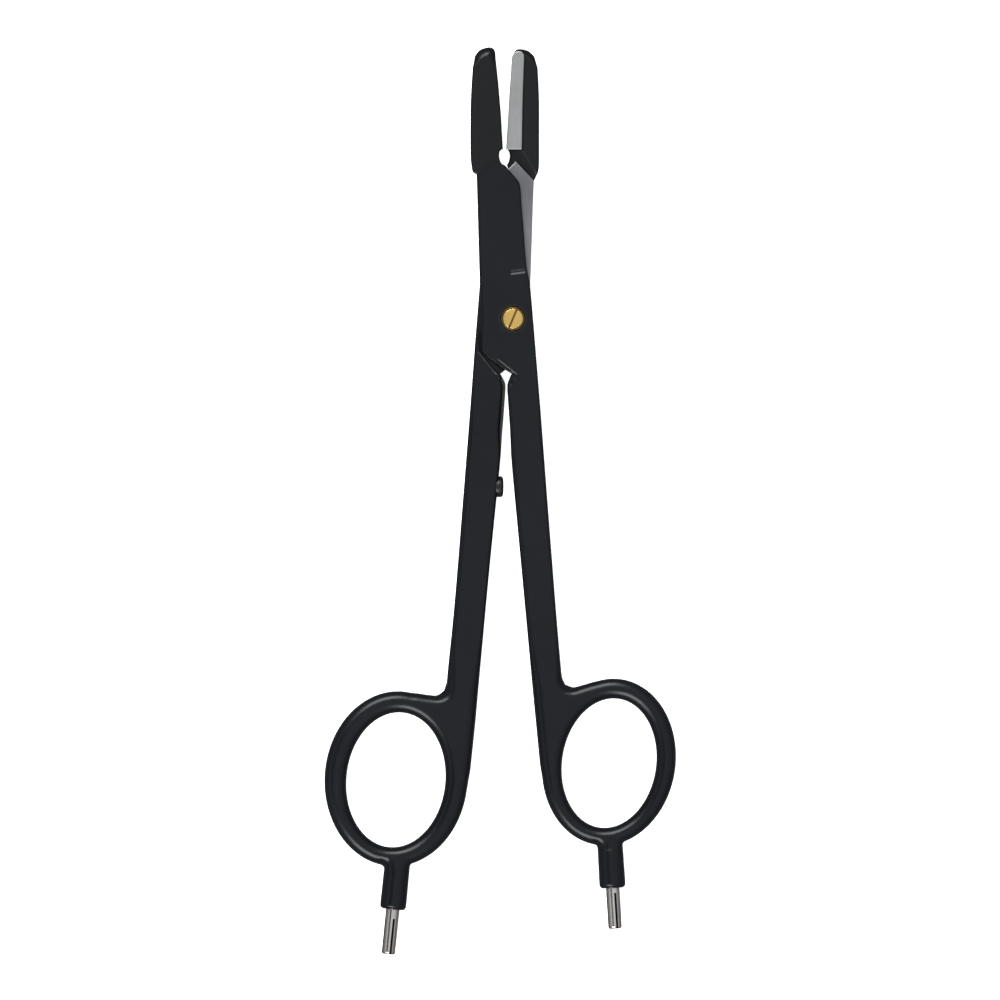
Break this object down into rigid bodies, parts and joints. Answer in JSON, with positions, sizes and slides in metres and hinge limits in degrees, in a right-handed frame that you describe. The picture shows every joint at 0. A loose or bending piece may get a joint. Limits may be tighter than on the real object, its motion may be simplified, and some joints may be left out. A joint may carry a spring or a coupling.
{
  "type": "bipolar ring-handled scissors",
  "caption": "Insulated ring-handled scissors with capped straight blades, a slotted brass pivot and a split plug contact under each finger ring.",
  "frame": {"origin": "on the pivot axis, in the plane of the pivot nut's flat back, on which the scissors rest", "axes": "+Y towards the blade tips, +X towards the upper half's finger ring, +Z along the pivot axis out of the screw head"},
  "size_m": [0.0776, 0.2004, 0.0058],
  "materials": {
    "steel": "satin ground",
    "strip": "fine ground",
    "cover": "satin",
    "coat": "satin",
    "contact": "nickel plated",
    "stop": "satin",
    "brass": "turned",
    "insulator": "matte"
  },
  "bodies": {
    "lower_half": {"lower_limb": "steel", "lower_cutting_strip": "strip", "lower_blade_cover": "cover", "lower_handle_coat": "coat", "lower_contact_pin": "contact", "closing_stop": "stop", "pivot_nut": "brass", "pivot_screw": "brass", "joint_washer": "insulator"},
    "upper_half": {"upper_limb": "steel", "upper_cutting_strip": "strip", "upper_blade_cover": "cover", "upper_handle_coat": "coat", "upper_contact_pin": "contact", "pivot_bush": "insulator", "screw_cup": "brass"}
  },
  "joints": [
    {"name": "pivot", "type": "hinge", "parent": "lower_half", "child": "upper_half", "pos_m": [0, 0, 0.00295], "axis": [0, 0, 1], "range_deg": [-3.4, 45]}
  ]
}
